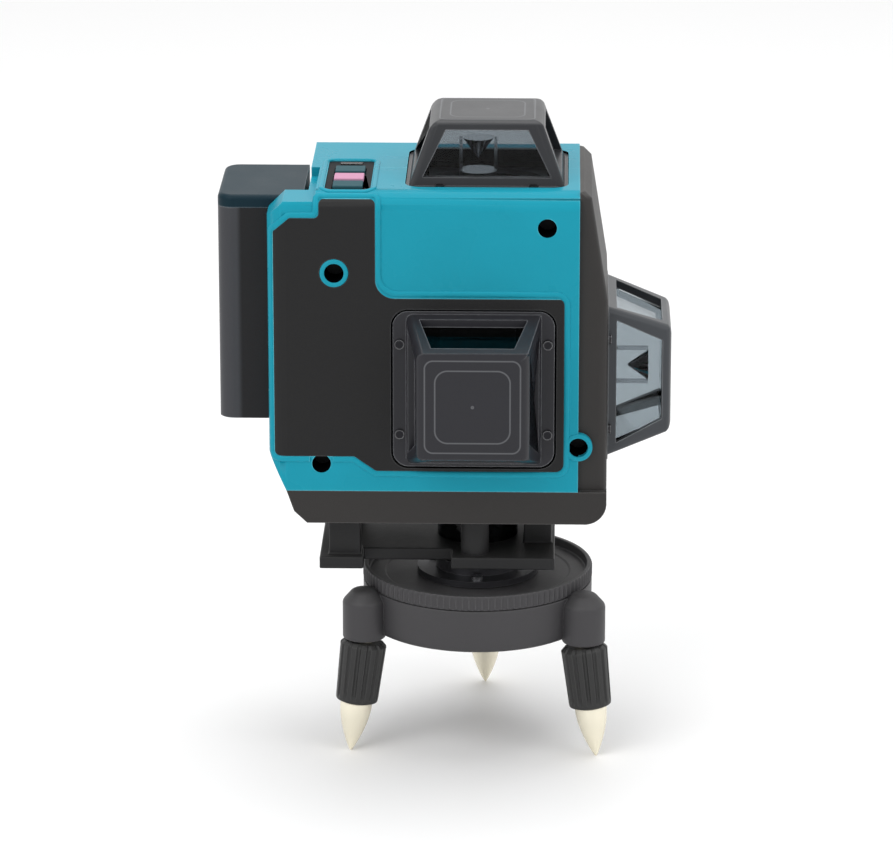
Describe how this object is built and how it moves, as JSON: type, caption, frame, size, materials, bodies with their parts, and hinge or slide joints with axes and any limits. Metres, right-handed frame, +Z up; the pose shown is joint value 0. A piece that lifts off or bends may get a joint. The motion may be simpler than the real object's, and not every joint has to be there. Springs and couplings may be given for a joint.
{
  "type": "laser level",
  "caption": "Self-levelling line laser with cone windows on its front, top, side and underside, a slide-in battery and a small turntable base on pointed screw feet.",
  "frame": {"origin": "on the vertical turning axis, at the mouth of the tripod thread in the underside of the base", "axes": "+Z up along the turning axis, -Y towards the front window, +X towards the side window"},
  "size_m": [0.1436, 0.1041, 0.2083],
  "materials": {
    "teal_case": "satin moulded plastic, fine grain",
    "dark_case": "matt moulded plastic, fine grain",
    "black_panel": "fine-textured plastic",
    "base_plastic": "matt moulded plastic",
    "knob_plastic": "ribbed matt plastic",
    "foot_metal": "bright plated, slightly warm",
    "brass": "turned",
    "zinc": "dark plated",
    "screw_steel": "plated",
    "cage_plastic": "satin moulded plastic",
    "window_glass": "clear",
    "keypad": "smooth film",
    "key_rubber": "smooth",
    "lit_key_rubber": "translucent, lit from below",
    "lens": "tinted",
    "board": "circuit board",
    "battery_plastic": "matt moulded plastic",
    "cell_wrap": "shrink wrap",
    "contact": "plated",
    "pendulum_metal": "machined",
    "laser_metal": "turned",
    "mirror": "polished",
    "copper": "plain copper",
    "magnet": "nickel plated"
  },
  "bodies": {
    "base": {"tripod_base": "base_plastic", "thread_insert": "brass", "pivot_washer": "screw_steel", "pivot_screw": "screw_steel"},
    "level": {"turntable_dish": "base_plastic", "stud_plate": "zinc", "stud_screws": "screw_steel", "bottom_bracket": "dark_case", "bracket_insert": "brass", "bottom_glass": "window_glass", "front_shell": "teal_case", "rear_shell": "teal_case", "front_panel": "black_panel", "rear_panel": "black_panel", "bottom_shell": "dark_case", "side_housing": "dark_case", "case_screws": "screw_steel", "front_cage_frame": "cage_plastic", "front_glass": "window_glass", "top_cage_frame": "cage_plastic", "top_glass": "window_glass", "side_cage_frame": "cage_plastic", "side_glass": "window_glass", "cage_screws": "screw_steel", "keypad_panel": "keypad", "status_lens": "lens", "key_board": "board", "main_board": "board", "battery_dock": "dark_case", "dock_contacts": "contact", "gimbal_bracket": "pendulum_metal", "outer_pins": "screw_steel", "damping_magnets": "magnet", "charge_jack": "keypad"},
    "battery": {"battery_case": "battery_plastic", "battery_cover": "battery_plastic", "battery_cells": "cell_wrap", "battery_contacts": "contact"},
    "lock": {"lock_switch": "dark_case"},
    "gimbal": {"gimbal_ring": "pendulum_metal", "inner_pins": "screw_steel"},
    "pendulum": {"pendulum_frame": "pendulum_metal", "top_laser": "laser_metal", "front_laser": "laser_metal", "side_laser": "laser_metal", "bottom_laser": "laser_metal", "cone_mirrors": "mirror", "damping_plate": "copper"},
    "foot_1": {"foot_tip_1": "foot_metal"},
    "knob_1": {"foot_knob_1": "knob_plastic"},
    "key_1": {"key_1": "key_rubber"},
    "foot_2": {"foot_tip_2": "foot_metal"},
    "knob_2": {"foot_knob_2": "knob_plastic"},
    "key_2": {"key_2": "lit_key_rubber"},
    "foot_3": {"foot_tip_3": "foot_metal"},
    "knob_3": {"foot_knob_3": "knob_plastic"},
    "key_3": {"key_3": "key_rubber"}
  },
  "joints": [
    {"name": "turntable_spin", "type": "hinge", "parent": "base", "child": "level", "pos_m": [0, 0, 0.0164], "axis": [0, 0, 1], "continuous": true},
    {"name": "foot_slide_1", "type": "slide", "parent": "base", "child": "foot_1", "axis": [0.0056, 0.1339, -0.991], "range_m": [0, 0.008]},
    {"name": "knob_spin_1", "type": "hinge", "parent": "foot_1", "child": "knob_1", "pos_m": [0.00171, 0.04076, -0.0005], "axis": [0.0056, 0.1339, -0.991], "range_deg": [0, 2880]},
    {"name": "foot_slide_2", "type": "slide", "parent": "base", "child": "foot_2", "axis": [-0.1187, -0.0621, -0.991], "range_m": [0, 0.008]},
    {"name": "knob_spin_2", "type": "hinge", "parent": "foot_2", "child": "knob_2", "pos_m": [-0.03616, -0.0189, -0.0005], "axis": [-0.1187, -0.0621, -0.991], "range_deg": [0, 2880]},
    {"name": "foot_slide_3", "type": "slide", "parent": "base", "child": "foot_3", "axis": [0.1131, -0.0718, -0.991], "range_m": [0, 0.008]},
    {"name": "knob_spin_3", "type": "hinge", "parent": "foot_3", "child": "knob_3", "pos_m": [0.03445, -0.02186, -0.0005], "axis": [0.1131, -0.0718, -0.991], "range_deg": [0, 2880]},
    {"name": "battery_slide", "type": "slide", "parent": "level", "child": "battery", "axis": [0, 0, 1], "range_m": [0, 0.07]},
    {"name": "key_press_1", "type": "slide", "parent": "level", "child": "key_1", "axis": [0, 0, -1], "range_m": [0, 0.0007], "stiffness_N_per_m": 800},
    {"name": "key_press_2", "type": "slide", "parent": "level", "child": "key_2", "axis": [0, 0, -1], "range_m": [0, 0.0007], "stiffness_N_per_m": 800},
    {"name": "key_press_3", "type": "slide", "parent": "level", "child": "key_3", "axis": [0, 0, -1], "range_m": [0, 0.0007], "stiffness_N_per_m": 800},
    {"name": "lock_slide", "type": "slide", "parent": "level", "child": "lock", "axis": [1, 0, 0], "range_m": [0, 0.006]},
    {"name": "gimbal_roll", "type": "hinge", "parent": "level", "child": "gimbal", "pos_m": [0, 0, 0.125], "axis": [1, 0, 0], "range_deg": [-3, 3]},
    {"name": "gimbal_pitch", "type": "hinge", "parent": "gimbal", "child": "pendulum", "pos_m": [0, 0, 0.125], "axis": [0, 1, 0], "range_deg": [-3, 3]}
  ],
  "couplings": [
    {"joint": "knob_spin_1", "follows": "foot_slide_1", "rad_per_m": 6283.2},
    {"joint": "knob_spin_2", "follows": "foot_slide_2", "rad_per_m": 6283.2},
    {"joint": "knob_spin_3", "follows": "foot_slide_3", "rad_per_m": 6283.2}
  ]
}
